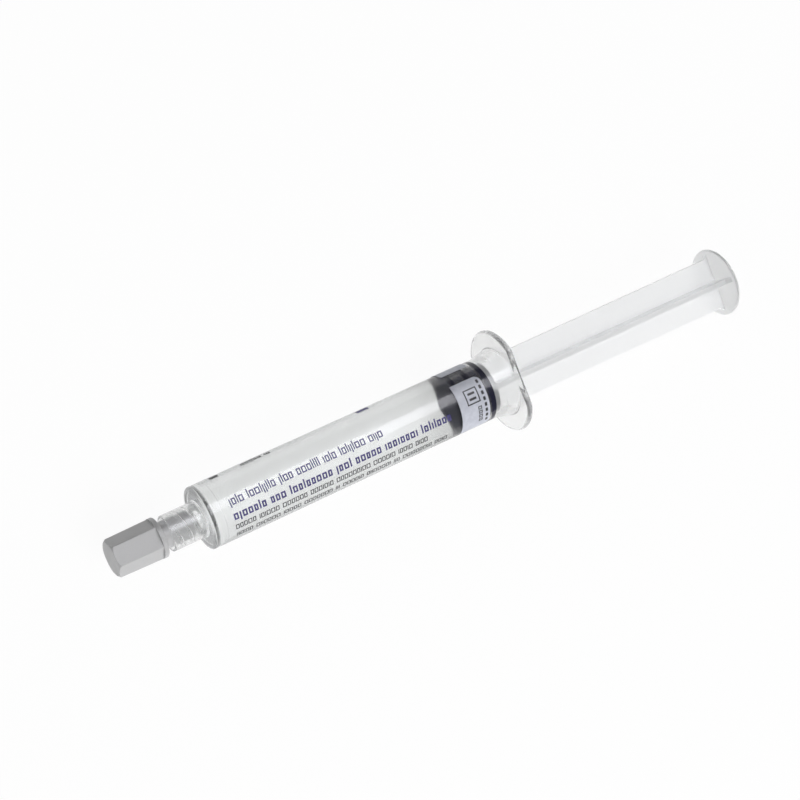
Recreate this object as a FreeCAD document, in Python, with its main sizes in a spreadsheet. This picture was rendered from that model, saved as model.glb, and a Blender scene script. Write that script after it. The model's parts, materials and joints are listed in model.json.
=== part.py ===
"""Pre-filled flush syringe, 10 ml: barrel with luer lock, tip cap, stopper, plunger rod, label, filling.

Lengths are in millimetres. The syringe's axis runs along X, from the nose at -X to the thumb pad
at +X. The finger flange is long in Y, and its two flats stand across Z. The origin is under the
middle of the whole length, at the level of the flange's lower flat.

Every piece is drawn about the axis in a frame of its own, and its Placement puts it on the axis.
"""

import FreeCAD, Part
import math
import os
import re
import Sketcher
from FreeCAD import Vector

SIZES = {
    # Barrel tube, measured from the outer edge of its front face, whose middle stands out a little
    "barrel_length": 87.2,
    "barrel_radius": 7.9,
    "barrel_wall": 0.95,
    "front_wall": 0.9,
    "front_cone": 0.3,
    "front_corner": 1.1,
    "front_edge": 0.3,
    "face_rise": 0.25,
    "face_radius": 6.9,
    "flare_length": 5.0,
    "flare_rise": 1.0,
    "mouth_length": 4.0,
    "mouth_edge": 0.25,
    # Finger flange
    "flange_thickness": 1.6,
    "flange_length": 26.8,
    "flange_width": 19.8,
    "flange_end_extra": 1.3,
    "flange_corner": 1.5,
    "flange_edge": 0.6,
    "flange_root": 0.6,
    # Luer lock at the nose
    "tip_length": 11.0,
    "tip_end_radius": 1.965,
    "tip_bore_radius": 0.75,
    "tip_edge": 0.25,
    "luer_taper": 0.03,
    "collar_length": 8.9,
    "collar_radius": 4.5,
    "collar_edge": 0.2,
    "collar_root": 0.4,
    "collar_floor": 0.6,
    "thread_radius": 3.95,
    "thread_depth": 0.42,
    "thread_lead": 5.0,
    "thread_crest": 0.45,
    "thread_base": 0.95,
    "thread_inset": 0.9,
    "thread_embed": 0.05,
    "thread_starts": 2,
    # Tip cap, pushed on the tip
    "cap_gap": 1.8,
    "rim_thickness": 1.2,
    "rim_radius": 5.0,
    "rim_edge": 0.35,
    "grip_length": 11.3,
    "grip_front_radius": 4.78,
    "grip_rear_radius": 4.98,
    "grip_corner": 0.35,
    "grip_chamfer": 0.55,
    "grip_turn": 7.4,
    "neck_length": 7.7,
    "neck_gap": 0.2,
    "neck_edge": 0.2,
    "tip_clearance": 0.03,
    "tip_end_gap": 0.5,
    # Stopper, whose rear face lies this far inside the barrel's mouth
    "stopper_inset": 7.4,
    "stopper_length": 9.9,
    "stopper_clearance": 0.04,
    "stopper_nose_radius": 1.0,
    "stopper_cone": 3.0,
    "seal_count": 3,
    "seal_width": 1.7,
    "seal_depth": 0.5,
    "seal_edge": 0.3,
    "socket_clearance": 0.08,
    # Plunger rod, as long as leaves the gap between flange and thumb pad when the barrel is empty
    "thumb_gap": 3.2,
    "rod_disc_thickness": 1.3,
    "rod_disc_gap": 0.35,
    "rod_disc_edge": 0.3,
    "rib_thickness": 1.3,
    "rib_front_gap": 0.55,
    "rib_rear_gap": 0.15,
    "thumb_thickness": 0.9,
    "thumb_overhang": 1.25,
    "thumb_edge": 0.4,
    "thumb_root": 1.2,
    "stud_neck_radius": 2.2,
    "stud_neck_length": 2.0,
    "stud_head_radius": 3.0,
    "stud_head_length": 2.6,
    "stud_chamfer": 0.7,
    # Label film, which ends short of the flare, and filling
    "label_start": 3.0,
    "label_end_gap": 3.1,
    "label_film": 0.08,
    "label_glue": 0.02,
    "fill_gap": 0.02,
}

# Sizes that follow from the ones above, written in their names
BORE_RADIUS = "(barrel_radius - barrel_wall)"
BORE_START = "(front_wall + front_cone)"
STROKE_END = "(front_wall + stopper_cone)"
TIP_ROOT_RADIUS = "(tip_end_radius + luer_taper * (tip_length - collar_floor))"
TIP_OVERHANG = "(tip_length - collar_length)"
RIM_PLACE = "(collar_length + cap_gap)"
NOSE_LENGTH = "(collar_length + cap_gap + rim_thickness + grip_length)"
FLANGE_PLACE = "(barrel_length - flange_thickness)"
STOPPER_PLACE = "(barrel_length - stopper_inset)"
ROD_LENGTH = f"(barrel_length + thumb_gap + thumb_thickness - stopper_length - {STROKE_END})"
TAIL_LENGTH = f"({STOPPER_PLACE} + {ROD_LENGTH})"
LABEL_LENGTH = f"({FLANGE_PLACE} - flare_length - label_start - label_end_gap)"
NECK_RADIUS = "(thread_radius - thread_depth - neck_gap)"
STOPPER_RADIUS = "(barrel_radius - barrel_wall - stopper_clearance)"
THUMB_RADIUS = "(barrel_radius + thumb_overhang)"
ROD_SPAN = f"({ROD_LENGTH} - thumb_thickness)"

# Largest rounding, as a share of the thickness that it rounds
EDGE_SHARE = 0.4

doc = FreeCAD.newDocument("flush_syringe")


def make_sheet():
    """Puts every driving size in a cell of its own, under its name."""
    sheet = doc.addObject("Spreadsheet::Sheet", "Sizes")
    for row, (name, value) in enumerate(SIZES.items(), start=1):
        sheet.set(f"A{row}", name.replace("_", " "))
        sheet.set(f"B{row}", str(value))
        sheet.setAlias(f"B{row}", name)
    doc.recompute()


def in_sheet(text):
    """Turns size names, which all hold an underscore, into references to the sheet."""
    return re.sub(r"\b([a-z]+(?:_[a-z]+)+)\b", r"Sizes.\1", text)


def bind(thing, prop, text):
    """Sets a property of a document object by a size expression."""
    thing.setExpression(prop, in_sheet(text))


def make_body(label, place="0"):
    """Starts a piece whose own origin lies on the axis, place millimetres behind the front face."""
    body = doc.addObject("PartDesign::Body", label)
    body.Label = label
    bind(body, "Placement.Base.x", f"({NOSE_LENGTH} - {TAIL_LENGTH}) / 2 + {place}")
    bind(body, "Placement.Base.z", "flange_width / 2")
    return body


def make_sketch(body, role, name, offset=None):
    """Attaches a sketch to one of the body's own planes, or offset along that plane's normal."""
    sketch = body.newObject("Sketcher::SketchObject", name)
    plane = next(o for o in body.Origin.OriginFeatures if o.Role == role)
    sketch.AttachmentSupport = [(plane, "")]
    sketch.MapMode = "FlatFace"
    if offset:
        bind(sketch, "AttachmentOffset.Base.z", offset)
    return sketch


def hold_point(sketch, line, end, x, y):
    """Fixes one end of a line at x, y from the sketch's origin."""
    for kind, text, axis in (("DistanceX", x, -2), ("DistanceY", y, -1)):
        if text == "0":
            sketch.addConstraint(Sketcher.Constraint("PointOnObject", line, end, axis))
        else:
            index = sketch.addConstraint(Sketcher.Constraint(kind, -1, 1, line, end, 1.0))
            bind(sketch, f"Constraints[{index}]", text)


def draw_outline(sketch, points):
    """Draws a closed outline of straight lines through points given as size expressions."""
    count = len(points)
    start = [Vector(math.cos(2 * math.pi * k / count), math.sin(2 * math.pi * k / count), 0)
             for k in range(count)]
    for k in range(count):
        sketch.addGeometry(Part.LineSegment(start[k], start[(k + 1) % count]), False)
    for k in range(count):
        sketch.addConstraint(Sketcher.Constraint("Coincident", k, 2, (k + 1) % count, 1))
    for k, (x, y) in enumerate(points):
        hold_point(sketch, k, 1, x, y)
    return sketch


def add_turned(body, kind, name, points):
    """Turns an outline about the X axis, as a Revolution that adds or a Groove that cuts."""
    sketch = draw_outline(make_sketch(body, "XZ_Plane", name + "_outline"), points)
    before = body.Shape.Volume if body.Tip else 0.0
    feature = body.newObject("PartDesign::" + kind, name)
    feature.Profile = sketch
    feature.ReferenceAxis = (sketch, ["H_Axis"])
    feature.Angle = 360
    doc.recompute()
    check_changed(body, name, before, kind == "Revolution")
    return feature


def check_changed(body, name, before, grows):
    """Stops if a feature added or cut nothing."""
    change = body.Shape.Volume - before
    if (change > 0) != grows or abs(change) < 1e-3:
        raise RuntimeError(f"{body.Label}: {name} changed the volume by {change:.4f}")


def add_pad(body, name, sketch, length, both_ways=False):
    """Adds a sketch's outline as a plate, on one side of the sketch or half on each side."""
    before = body.Shape.Volume if body.Tip else 0.0
    pad = body.newObject("PartDesign::Pad", name)
    pad.Profile = sketch
    pad.Midplane = both_ways
    bind(pad, "Length", length)
    doc.recompute()
    check_changed(body, name, before, True)
    return pad


def add_fillet(body, name, radius, wanted):
    """Rounds the edges of the finished shape that wanted(edge) picks."""
    base = body.Tip
    names = [f"Edge{k}" for k, edge in enumerate(base.Shape.Edges, start=1) if wanted(edge)]
    if not names:
        raise RuntimeError(f"{body.Label}: {name} found no edge")
    fillet = body.newObject("PartDesign::Fillet", name)
    fillet.Base = (base, names)
    bind(fillet, "Radius", radius)
    doc.recompute()
    if fillet.Shape.isNull():
        raise RuntimeError(f"{body.Label}: {name} did not round its edges")
    return fillet


def value(text):
    """The number that a size expression stands for now."""
    return float(doc.getObject("Sizes").evalExpression(in_sheet(text)))


def is_circle(edge, x, radius):
    """True for a circle about the X axis with this radius, in the plane at x."""
    if not isinstance(edge.Curve, Part.Circle):
        return False
    centre = edge.Curve.Center
    return (math.isclose(edge.Curve.Radius, radius, abs_tol=1e-4)
            and math.isclose(centre.x, x, abs_tol=1e-4)
            and math.hypot(centre.y, centre.z) < 1e-4)


def circle_at(x, radius):
    """A test for add_fillet, from two size expressions."""
    return lambda edge: is_circle(edge, value(x), value(radius))


def make_barrel():
    """Tube with its finger flange, luer tip and threaded collar, all one moulding."""
    body = make_body("barrel")
    add_turned(body, "Revolution", "barrel_outside", [
        ("-tip_length", "0"),
        ("-tip_length", "tip_end_radius"),
        ("-collar_length", f"tip_end_radius + luer_taper * {TIP_OVERHANG}"),
        ("-collar_length", "collar_radius"),
        ("-face_rise", "collar_radius"),
        ("-face_rise", "face_radius"),
        ("0", "barrel_radius"),
        (f"{FLANGE_PLACE} - flare_length", "barrel_radius"),
        (FLANGE_PLACE, "barrel_radius + flare_rise"),
        ("barrel_length", "barrel_radius + flare_rise"),
        ("barrel_length", "0"),
    ])
    make_flange(body)
    add_turned(body, "Groove", "bore", [
        ("-tip_length", "0"),
        ("-tip_length", "tip_bore_radius"),
        ("front_wall", "tip_bore_radius"),
        (BORE_START, BORE_RADIUS),
        ("barrel_length - mouth_length", BORE_RADIUS),
        ("barrel_length", f"{BORE_RADIUS} + flare_rise"),
        ("barrel_length", "0"),
    ])
    add_turned(body, "Groove", "collar_recess", [
        ("-collar_length", f"tip_end_radius + luer_taper * {TIP_OVERHANG}"),
        ("-collar_floor", TIP_ROOT_RADIUS),
        ("-collar_floor", "thread_radius"),
        ("-collar_length", "thread_radius"),
    ])
    add_fillet(body, "front_edge_round", "front_edge", circle_at("0", "barrel_radius"))
    add_fillet(body, "bore_corner_round", "front_corner", circle_at(BORE_START, BORE_RADIUS))
    add_fillet(body, "flange_root_round", "flange_root", circle_at(FLANGE_PLACE, "barrel_radius + flare_rise"))
    add_fillet(body, "collar_root_round", "collar_root", circle_at("-face_rise", "collar_radius"))
    add_fillet(body, "collar_edge_round", "collar_edge", circle_at("-collar_length", "collar_radius"))
    add_fillet(body, "tip_edge_round", "tip_edge", circle_at("-tip_length", "tip_end_radius"))
    add_fillet(body, "mouth_edge_round", "mouth_edge",
               circle_at("barrel_length", f"{BORE_RADIUS} + flare_rise"))
    make_thread(body)
    return body


def make_flange(body):
    """An oval plate with two flats, long in Y, with rounded corners and edges."""
    sketch = make_sketch(body, "YZ_Plane", "flange_outline", FLANGE_PLACE)
    width = value("flange_width")
    length = value("flange_length")
    half = width / 4
    normal = Vector(0, 0, 1)
    sketch.addGeometry(Part.LineSegment(Vector(-half, width / 2, 0), Vector(half, width / 2, 0)), False)
    sketch.addGeometry(Part.LineSegment(Vector(half, -width / 2, 0), Vector(-half, -width / 2, 0)), False)
    for side in (1, -1):
        centre = Vector(side * (length / 2 - width / 2), 0, 0)
        turn = 0 if side > 0 else math.pi
        circle = Part.Circle(centre, normal, width / 2)
        sketch.addGeometry(Part.ArcOfCircle(circle, turn - math.pi / 3, turn + math.pi / 3), False)
    for first, first_end, second, second_end in ((0, 2, 2, 2), (1, 1, 2, 1), (0, 1, 3, 1), (1, 2, 3, 2)):
        sketch.addConstraint(Sketcher.Constraint("Coincident", first, first_end, second, second_end))
    for line, side in ((0, ""), (1, "-")):
        sketch.addConstraint(Sketcher.Constraint("Horizontal", line))
        index = sketch.addConstraint(Sketcher.Constraint("DistanceY", -1, 1, line, 1, 1.0))
        bind(sketch, f"Constraints[{index}]", f"{side}flange_width / 2")
    for arc, side in ((2, ""), (3, "-")):
        sketch.addConstraint(Sketcher.Constraint("PointOnObject", arc, 3, -1))
        index = sketch.addConstraint(Sketcher.Constraint("DistanceX", -1, 1, arc, 3, 1.0))
        bind(sketch, f"Constraints[{index}]",
             f"{side}(flange_length / 2 - flange_width / 2 - flange_end_extra)")
        index = sketch.addConstraint(Sketcher.Constraint("Radius", arc, width / 2))
        bind(sketch, f"Constraints[{index}]", "flange_width / 2 + flange_end_extra")
    add_pad(body, "flange", sketch, "flange_thickness")

    def is_corner(edge):
        """True for the four short edges along X where a flat meets an end."""
        return (isinstance(edge.Curve, Part.Line) and abs(edge.tangentAt(edge.FirstParameter).x) > 0.999
                and edge.Vertexes[0].X > value(FLANGE_PLACE) - 1e-3)

    def is_rim(edge):
        """True for the edges round the flange's front and rear faces."""
        box = edge.BoundBox
        flat = box.XLength < 1e-4 and box.XMin > value(FLANGE_PLACE) - 1e-3
        middle = edge.valueAt((edge.FirstParameter + edge.LastParameter) / 2)
        return flat and math.hypot(middle.y, middle.z) > value("flange_width / 2") - 1e-3

    add_fillet(body, "flange_corner_round", "flange_corner", is_corner)
    add_fillet(body, "flange_rim_round", f"min(flange_edge; {EDGE_SHARE} * flange_thickness)", is_rim)


def make_thread(body):
    """The collar's inner thread: ridges that stand in from its wall and start on opposite sides."""
    start = "(thread_inset - collar_length)"
    root = "thread_radius + thread_embed"
    crest = "thread_radius - thread_depth"
    sketch = draw_outline(make_sketch(body, "XZ_Plane", "thread_outline"), [
        (start, root),
        (f"{start} + (thread_base - thread_crest) / 2", crest),
        (f"{start} + (thread_base + thread_crest) / 2", crest),
        (f"{start} + thread_base", root),
    ])
    before = body.Shape.Volume
    ridge = body.newObject("PartDesign::AdditiveHelix", "thread_ridge")
    ridge.Profile = sketch
    ridge.ReferenceAxis = (sketch, ["H_Axis"])
    ridge.Mode = "pitch-height-angle"
    bind(ridge, "Pitch", "thread_lead")
    bind(ridge, "Height", "collar_length - collar_floor - 2 * thread_inset - thread_base")
    doc.recompute()
    check_changed(body, "thread_ridge", before, True)
    pattern = body.newObject("PartDesign::PolarPattern", "thread_starts")
    pattern.Originals = [ridge]
    pattern.Axis = (sketch, ["H_Axis"])
    pattern.Angle = 360
    bind(pattern, "Occurrences", "thread_starts")
    body.Tip = pattern
    doc.recompute()


def make_tip_cap():
    """Six-sided grip, round rim, and a neck with the luer cone that fits the barrel's tip."""
    body = make_body("tip_cap", f"-{RIM_PLACE}")
    grip = []
    for name, radius, offset in (
            ("grip_rear", "grip_rear_radius", "-rim_thickness"),
            ("grip_front", "grip_front_radius", "-(rim_thickness + grip_length)")):
        corners = [f"{60 * k} - grip_turn" for k in range(6)]
        points = [(f"{radius} * cos({corner})", f"{radius} * sin({corner})") for corner in corners]
        grip.append(draw_outline(make_sketch(body, "YZ_Plane", name + "_outline", offset), points))
    loft = body.newObject("PartDesign::AdditiveLoft", "grip")
    loft.Profile = grip[0]
    loft.Sections = [grip[1]]
    loft.Ruled = True
    doc.recompute()

    def is_long(edge):
        """True for the six edges that run from the grip's rear to its front."""
        return edge.BoundBox.XLength > 0.9 * value("grip_length")

    add_fillet(body, "grip_corner_round", "grip_corner", is_long)
    front = "(rim_thickness + grip_length)"
    add_turned(body, "Groove", "grip_front_trim", [
        (f"-{front}", "grip_front_radius - grip_chamfer"),
        (f"-{front}", "grip_front_radius + grip_chamfer"),
        (f"-{front} + 2 * grip_chamfer", "grip_front_radius + grip_chamfer"),
    ])
    add_turned(body, "Revolution", "rim_and_neck", [
        ("-rim_thickness", "0"),
        ("-rim_thickness", "rim_radius"),
        ("0", "rim_radius"),
        ("0", NECK_RADIUS),
        ("neck_length", NECK_RADIUS),
        ("neck_length", "0"),
    ])
    tip_end = f"(cap_gap - {TIP_OVERHANG})"
    cone_end = f"({tip_end} - tip_end_gap)"
    cone_radius = "(tip_end_radius + tip_clearance + luer_taper * "
    add_turned(body, "Groove", "luer_cone", [
        (cone_end, "0"),
        (cone_end, f"{cone_radius} (-tip_end_gap))"),
        ("neck_length", f"{cone_radius} (neck_length - {tip_end}))"),
        ("neck_length", "0"),
    ])
    add_fillet(body, "rim_round", "rim_edge", circle_at("0", "rim_radius"))
    add_fillet(body, "neck_round", "neck_edge", circle_at("neck_length", NECK_RADIUS))
    return body


def make_stopper():
    """Rubber stopper with sealing ribs, a cone in front and a socket for the rod's stud behind."""
    body = make_body("stopper", STOPPER_PLACE)
    seals = round(value("seal_count"))
    pitch = f"(stopper_length - seal_width) / {seals - 1}"
    groove = f"{STOPPER_RADIUS} - seal_depth"
    points = [
        ("0", "0"),
        ("-stopper_length - stopper_cone", "0"),
        ("-stopper_length - stopper_cone", "stopper_nose_radius"),
    ]
    for k in range(seals):
        near = f"-stopper_length + {k} * {pitch}"
        if k > 0:
            points.append((near, groove))
        points.append((near, STOPPER_RADIUS))
        points.append((f"{near} + seal_width" if k < seals - 1 else "0", STOPPER_RADIUS))
        if k < seals - 1:
            points.append((f"{near} + seal_width", groove))
    add_turned(body, "Revolution", "stopper_outside", points)
    lip = "(stud_neck_length - socket_clearance)"
    depth = "(stud_neck_length + stud_head_length + socket_clearance)"
    add_turned(body, "Groove", "socket", [
        ("0", "0"),
        ("0", "stud_neck_radius + socket_clearance"),
        (f"-{lip}", "stud_neck_radius + socket_clearance"),
        (f"-{lip}", "stud_head_radius + socket_clearance"),
        (f"-{depth}", "stud_head_radius + socket_clearance"),
        (f"-{depth}", "0"),
    ])

    def is_seal_edge(edge):
        """True for the edges of the ribs that touch the bore."""
        return (isinstance(edge.Curve, Part.Circle)
                and math.isclose(edge.Curve.Radius, value(STOPPER_RADIUS), abs_tol=1e-4))

    add_fillet(body, "seal_round", f"min(seal_edge; {EDGE_SHARE} * seal_width)", is_seal_edge)
    return body


def make_plunger_rod():
    """Four ribs in a cross between a front disc with its stud and the thumb pad."""
    body = make_body("plunger_rod", STOPPER_PLACE)
    front = f"({BORE_RADIUS} - rib_front_gap)"
    rear = f"({BORE_RADIUS} - rib_rear_gap)"
    for name, role in (("upright_rib", "XZ_Plane"), ("level_rib", "XY_Plane")):
        sketch = draw_outline(make_sketch(body, role, name + "_outline"), [
            ("0", f"-{front}"),
            (f"{ROD_SPAN} - thumb_root", f"-{rear}"),
            (ROD_SPAN, f"-({rear} + thumb_root)"),
            (ROD_SPAN, f"{rear} + thumb_root"),
            (f"{ROD_SPAN} - thumb_root", rear),
            ("0", front),
        ])
        add_pad(body, name, sketch, "rib_thickness", both_ways=True)
    disc = f"({BORE_RADIUS} - rod_disc_gap)"
    stud_end = "(stud_neck_length + stud_head_length)"
    add_turned(body, "Revolution", "front_disc_and_stud", [
        ("rod_disc_thickness", "0"),
        ("rod_disc_thickness", disc),
        ("0", disc),
        ("0", "stud_neck_radius"),
        ("-stud_neck_length", "stud_neck_radius"),
        ("-stud_neck_length", "stud_head_radius"),
        (f"-{stud_end} + stud_chamfer", "stud_head_radius"),
        (f"-{stud_end}", "stud_head_radius - stud_chamfer"),
        (f"-{stud_end}", "0"),
    ])
    add_turned(body, "Revolution", "thumb_pad", [
        (ROD_SPAN, "0"),
        (ROD_SPAN, THUMB_RADIUS),
        (ROD_LENGTH, THUMB_RADIUS),
        (ROD_LENGTH, "0"),
    ])

    add_fillet(body, "thumb_edge_round", f"min(thumb_edge; {EDGE_SHARE} * thumb_thickness)", lambda edge:
               is_circle(edge, value(ROD_SPAN), value(THUMB_RADIUS))
               or is_circle(edge, value(ROD_LENGTH), value(THUMB_RADIUS)))
    add_fillet(body, "front_disc_round", "rod_disc_edge", circle_at("0", disc))
    return body


def make_label():
    """Clear printed film round the barrel."""
    body = make_body("label", "label_start")
    inner = "(barrel_radius + label_glue)"
    add_turned(body, "Revolution", "film", [
        ("0", inner),
        ("0", f"{inner} + label_film"),
        (LABEL_LENGTH, f"{inner} + label_film"),
        (LABEL_LENGTH, inner),
    ])
    return body


def make_saline():
    """The liquid: the column between front wall and stopper, and the channel in the tip."""
    body = make_body("saline")
    end = f"({STOPPER_PLACE} - stopper_length - fill_gap)"
    add_turned(body, "Revolution", "filling", [
        ("-tip_length", "0"),
        ("-tip_length", "tip_bore_radius"),
        ("front_wall", "tip_bore_radius"),
        (BORE_START, BORE_RADIUS),
        (end, BORE_RADIUS),
        (f"{end} - stopper_cone", "stopper_nose_radius"),
        (f"{end} - stopper_cone", "0"),
    ])
    add_fillet(body, "filling_corner_round", "front_corner", circle_at(BORE_START, BORE_RADIUS))
    return body


def check_document(bodies):
    """Stops if any object failed to build, or any piece is not one valid solid."""
    for thing in doc.Objects:
        if "Invalid" in thing.State or "Error" in thing.State:
            raise RuntimeError(f"{thing.Label} failed: {thing.State}")
    for body in bodies:
        shape = body.Shape
        if shape.isNull() or not shape.isValid() or len(shape.Solids) != 1:
            raise RuntimeError(f"{body.Label} is not one valid solid")


make_sheet()
pieces = [make_barrel(), make_tip_cap(), make_stopper(), make_plunger_rod(), make_label(), make_saline()]
doc.recompute()
check_document(pieces)
os.makedirs("parts", exist_ok=True)
for piece in pieces:
    piece.Shape.exportStep(f"parts/{piece.Label}.step")
    box = piece.Shape.BoundBox
    print(f"{piece.Label:12s} volume {piece.Shape.Volume:9.2f} mm3, x {box.XMin:7.2f} to {box.XMax:7.2f}, "
          f"z {box.ZMin:6.2f} to {box.ZMax:6.2f}")
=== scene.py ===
"""Studio scene of a pre-filled 10 ml flush syringe that lies on a white table.

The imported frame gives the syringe: its axis runs along X from the nose at -X to the thumb pad at
+X, and its finger flange is long in Y. Lengths in the classes below are millimetres. Places along
the syringe are measured from the barrel's front face towards the thumb pad, and angles round it
from straight up towards +Y.
"""

import json
import logging
import math
import random
from dataclasses import dataclass, field
from enum import Enum
from typing import Callable, Iterator

import bmesh
import bpy
from mathutils import Matrix, Vector

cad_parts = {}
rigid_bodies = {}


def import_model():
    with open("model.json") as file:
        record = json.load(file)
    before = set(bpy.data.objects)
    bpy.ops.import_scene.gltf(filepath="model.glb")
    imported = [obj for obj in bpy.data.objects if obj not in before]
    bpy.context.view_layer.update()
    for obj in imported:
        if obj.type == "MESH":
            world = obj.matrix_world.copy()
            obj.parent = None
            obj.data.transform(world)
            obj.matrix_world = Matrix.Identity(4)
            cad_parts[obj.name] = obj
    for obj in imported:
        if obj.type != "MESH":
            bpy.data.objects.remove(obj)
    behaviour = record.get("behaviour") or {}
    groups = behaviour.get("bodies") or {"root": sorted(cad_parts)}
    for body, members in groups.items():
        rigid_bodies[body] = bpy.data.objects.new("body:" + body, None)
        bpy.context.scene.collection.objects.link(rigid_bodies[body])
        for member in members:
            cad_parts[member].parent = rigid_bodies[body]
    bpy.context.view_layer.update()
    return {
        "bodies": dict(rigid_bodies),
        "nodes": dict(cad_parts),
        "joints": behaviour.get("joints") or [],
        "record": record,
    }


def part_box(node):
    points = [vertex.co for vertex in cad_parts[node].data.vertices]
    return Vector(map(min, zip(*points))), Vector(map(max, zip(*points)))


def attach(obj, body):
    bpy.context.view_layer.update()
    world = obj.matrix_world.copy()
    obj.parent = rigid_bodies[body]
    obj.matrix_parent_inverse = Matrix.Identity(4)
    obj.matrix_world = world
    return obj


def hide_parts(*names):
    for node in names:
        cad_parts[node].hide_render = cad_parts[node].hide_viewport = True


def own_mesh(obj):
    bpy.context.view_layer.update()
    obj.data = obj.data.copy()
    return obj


MM = 0.001
# Points of a mesh that lie nearer than this, in metres, are joined
MERGE_DISTANCE = 1e-8
# Runs in a printed field's rounded corner, and the longest run of a field round the barrel
CORNER_RUNS = 4
PRINT_RUN = 0.8
UNDERSIDE = 180.0
LIGHT_BOUNCES = 24
LOG = logging.getLogger("flush_syringe")

Outline = list[tuple[float, float]]
Colour = tuple[float, float, float]
Socket = bpy.types.NodeSocket


class Body(Enum):
    """The rigid bodies that the scene's own pieces ride on."""

    BARREL = "barrel"
    PLUNGER = "plunger"


class Slot(Enum):
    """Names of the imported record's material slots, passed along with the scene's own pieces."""

    RUBBER = "dark_rubber"
    LABEL = "label_film"
    LIQUID = "liquid"


@dataclass(frozen=True)
class Datum:
    """The syringe's axis in the frame, in metres, as a place to measure from."""

    front: float
    height: float

    @classmethod
    def from_frame(cls, tip_length: float) -> "Datum":
        """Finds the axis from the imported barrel, whose luer tip stands tip_length out of its front."""
        low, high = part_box("barrel")
        return cls(front=low.x + tip_length * MM, height=(low.z + high.z) / 2)

    def point(self, along: float, radius: float, angle: float) -> Vector:
        """Gives a point in metres.

        Args:
            along: Distance behind the front face.
            radius: Distance from the axis.
            angle: Degrees from straight up towards +Y.

        Returns:
            The point in the frame.
        """
        turn = math.radians(angle)
        side, rise = radius * math.sin(turn), radius * math.cos(turn)
        return Vector((self.front + along * MM, side * MM, self.height + rise * MM))


# Mesh making


def make_object(name: str, mesh: bmesh.types.BMesh, sharp: float = 35.0) -> bpy.types.Object:
    """Turns a mesh under construction into a smooth object with creases.

    Args:
        name: The object's name.
        mesh: The finished mesh, which is freed.
        sharp: Edges that fold by more than this many degrees stay sharp.

    Returns:
        The object, linked to the scene.
    """
    bmesh.ops.remove_doubles(mesh, verts=mesh.verts, dist=MERGE_DISTANCE)
    bmesh.ops.recalc_face_normals(mesh, faces=mesh.faces)
    data = bpy.data.meshes.new(name)
    mesh.to_mesh(data)
    mesh.free()
    data.shade_smooth()
    data.set_sharp_from_angle(angle=math.radians(sharp))
    piece = bpy.data.objects.new(name, data)
    bpy.context.scene.collection.objects.link(piece)
    return piece


def round_corners(outline: Outline, radii: dict[int, float], steps: int = 5) -> Outline:
    """Replaces corners of an outline by arcs that touch both sides.

    Args:
        outline: The corners in order.
        radii: The radius for each corner that is rounded, by its place in the outline.
        steps: How many runs an arc is drawn with.

    Returns:
        The outline with its arcs as points.
    """
    rounded: Outline = []
    for place, corner in enumerate(outline):
        if place not in radii:
            rounded.append(corner)
            continue
        here = Vector(corner)
        back = (Vector(outline[place - 1]) - here).normalized()
        ahead = (Vector(outline[(place + 1) % len(outline)]) - here).normalized()
        half = back.angle(ahead) / 2
        centre = here + (back + ahead).normalized() * (radii[place] / math.sin(half))
        first = here + back * (radii[place] / math.tan(half)) - centre
        last = here + ahead * (radii[place] / math.tan(half)) - centre
        turn = first.angle_signed(last)
        for step in range(steps + 1):
            spoke = first.copy()
            spoke.rotate(Matrix.Rotation(-turn * step / steps, 2))
            rounded.append(tuple(centre + spoke))
    return rounded


def lathe(name: str, datum: Datum, outline: Outline, steps: int = 120) -> bpy.types.Object:
    """Turns a closed outline about the syringe's axis.

    Args:
        name: The object's name.
        datum: The syringe's axis.
        outline: Corners as (along, radius). A radius of 0 lies on the axis.
        steps: How many runs go round.

    Returns:
        A closed object.
    """
    mesh = bmesh.new()
    rings = []
    for along, radius in outline:
        count = steps if radius > 0 else 1
        rings.append([mesh.verts.new(datum.point(along, radius, 360 * k / steps)) for k in range(count)])
    for here, there in zip(rings, rings[1:] + rings[:1]):
        if len(here) == len(there) == 1:
            continue
        for k in range(steps):
            nexts = (k + 1) % steps
            corners = [here[k % len(here)], here[nexts % len(here)], there[nexts % len(there)],
                       there[k % len(there)]]
            mesh.faces.new(list(dict.fromkeys(corners)))
    return make_object(name, mesh)


@dataclass(frozen=True)
class Mark:
    """A printed field on the label, as lengths along the barrel and round it."""

    start: float
    end: float
    low: float
    high: float
    corner: float = 0.0
    square_start: bool = False

    def inset(self, arc: float) -> float:
        """Gives how far a rounded corner pulls the ends in.

        Args:
            arc: A place round the barrel.

        Returns:
            The inset along the barrel, which is 0 away from the corners.
        """
        depth = self.corner - min(arc - self.low, self.high - arc)
        if depth <= 0:
            return 0.0
        return self.corner - math.sqrt(max(0.0, self.corner ** 2 - depth ** 2))

    def levels(self, run: float) -> list[float]:
        """Divides the mark round the barrel into runs, with short ones at its corners.

        Args:
            run: The longest run.

        Returns:
            The places where the runs begin and end, in order.
        """
        places = {self.low, self.high}
        if self.corner:
            for step in range(1, CORNER_RUNS + 1):
                reach = self.corner * (1 - math.cos(math.radians(90 / CORNER_RUNS * step)))
                places |= {self.low + reach, self.high - reach}
        count = max(1, math.ceil((self.high - self.low) / run))
        places |= {self.low + (self.high - self.low) * k / count for k in range(1, count)}
        return sorted(places)


def frame_marks(start: float, end: float, low: float, high: float, line: float) -> list[Mark]:
    """Gives the four sides of a printed frame.

    Args:
        start: Its end nearest the nose.
        end: Its other end.
        low: Its lower side round the barrel.
        high: Its upper side.
        line: How wide its sides are.

    Returns:
        The sides as marks that meet without overlapping.
    """
    return [Mark(start, start + line, low, high),
            Mark(end - line, end, low, high),
            Mark(start + line, end - line, low, low + line),
            Mark(start + line, end - line, high - line, high)]


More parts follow.
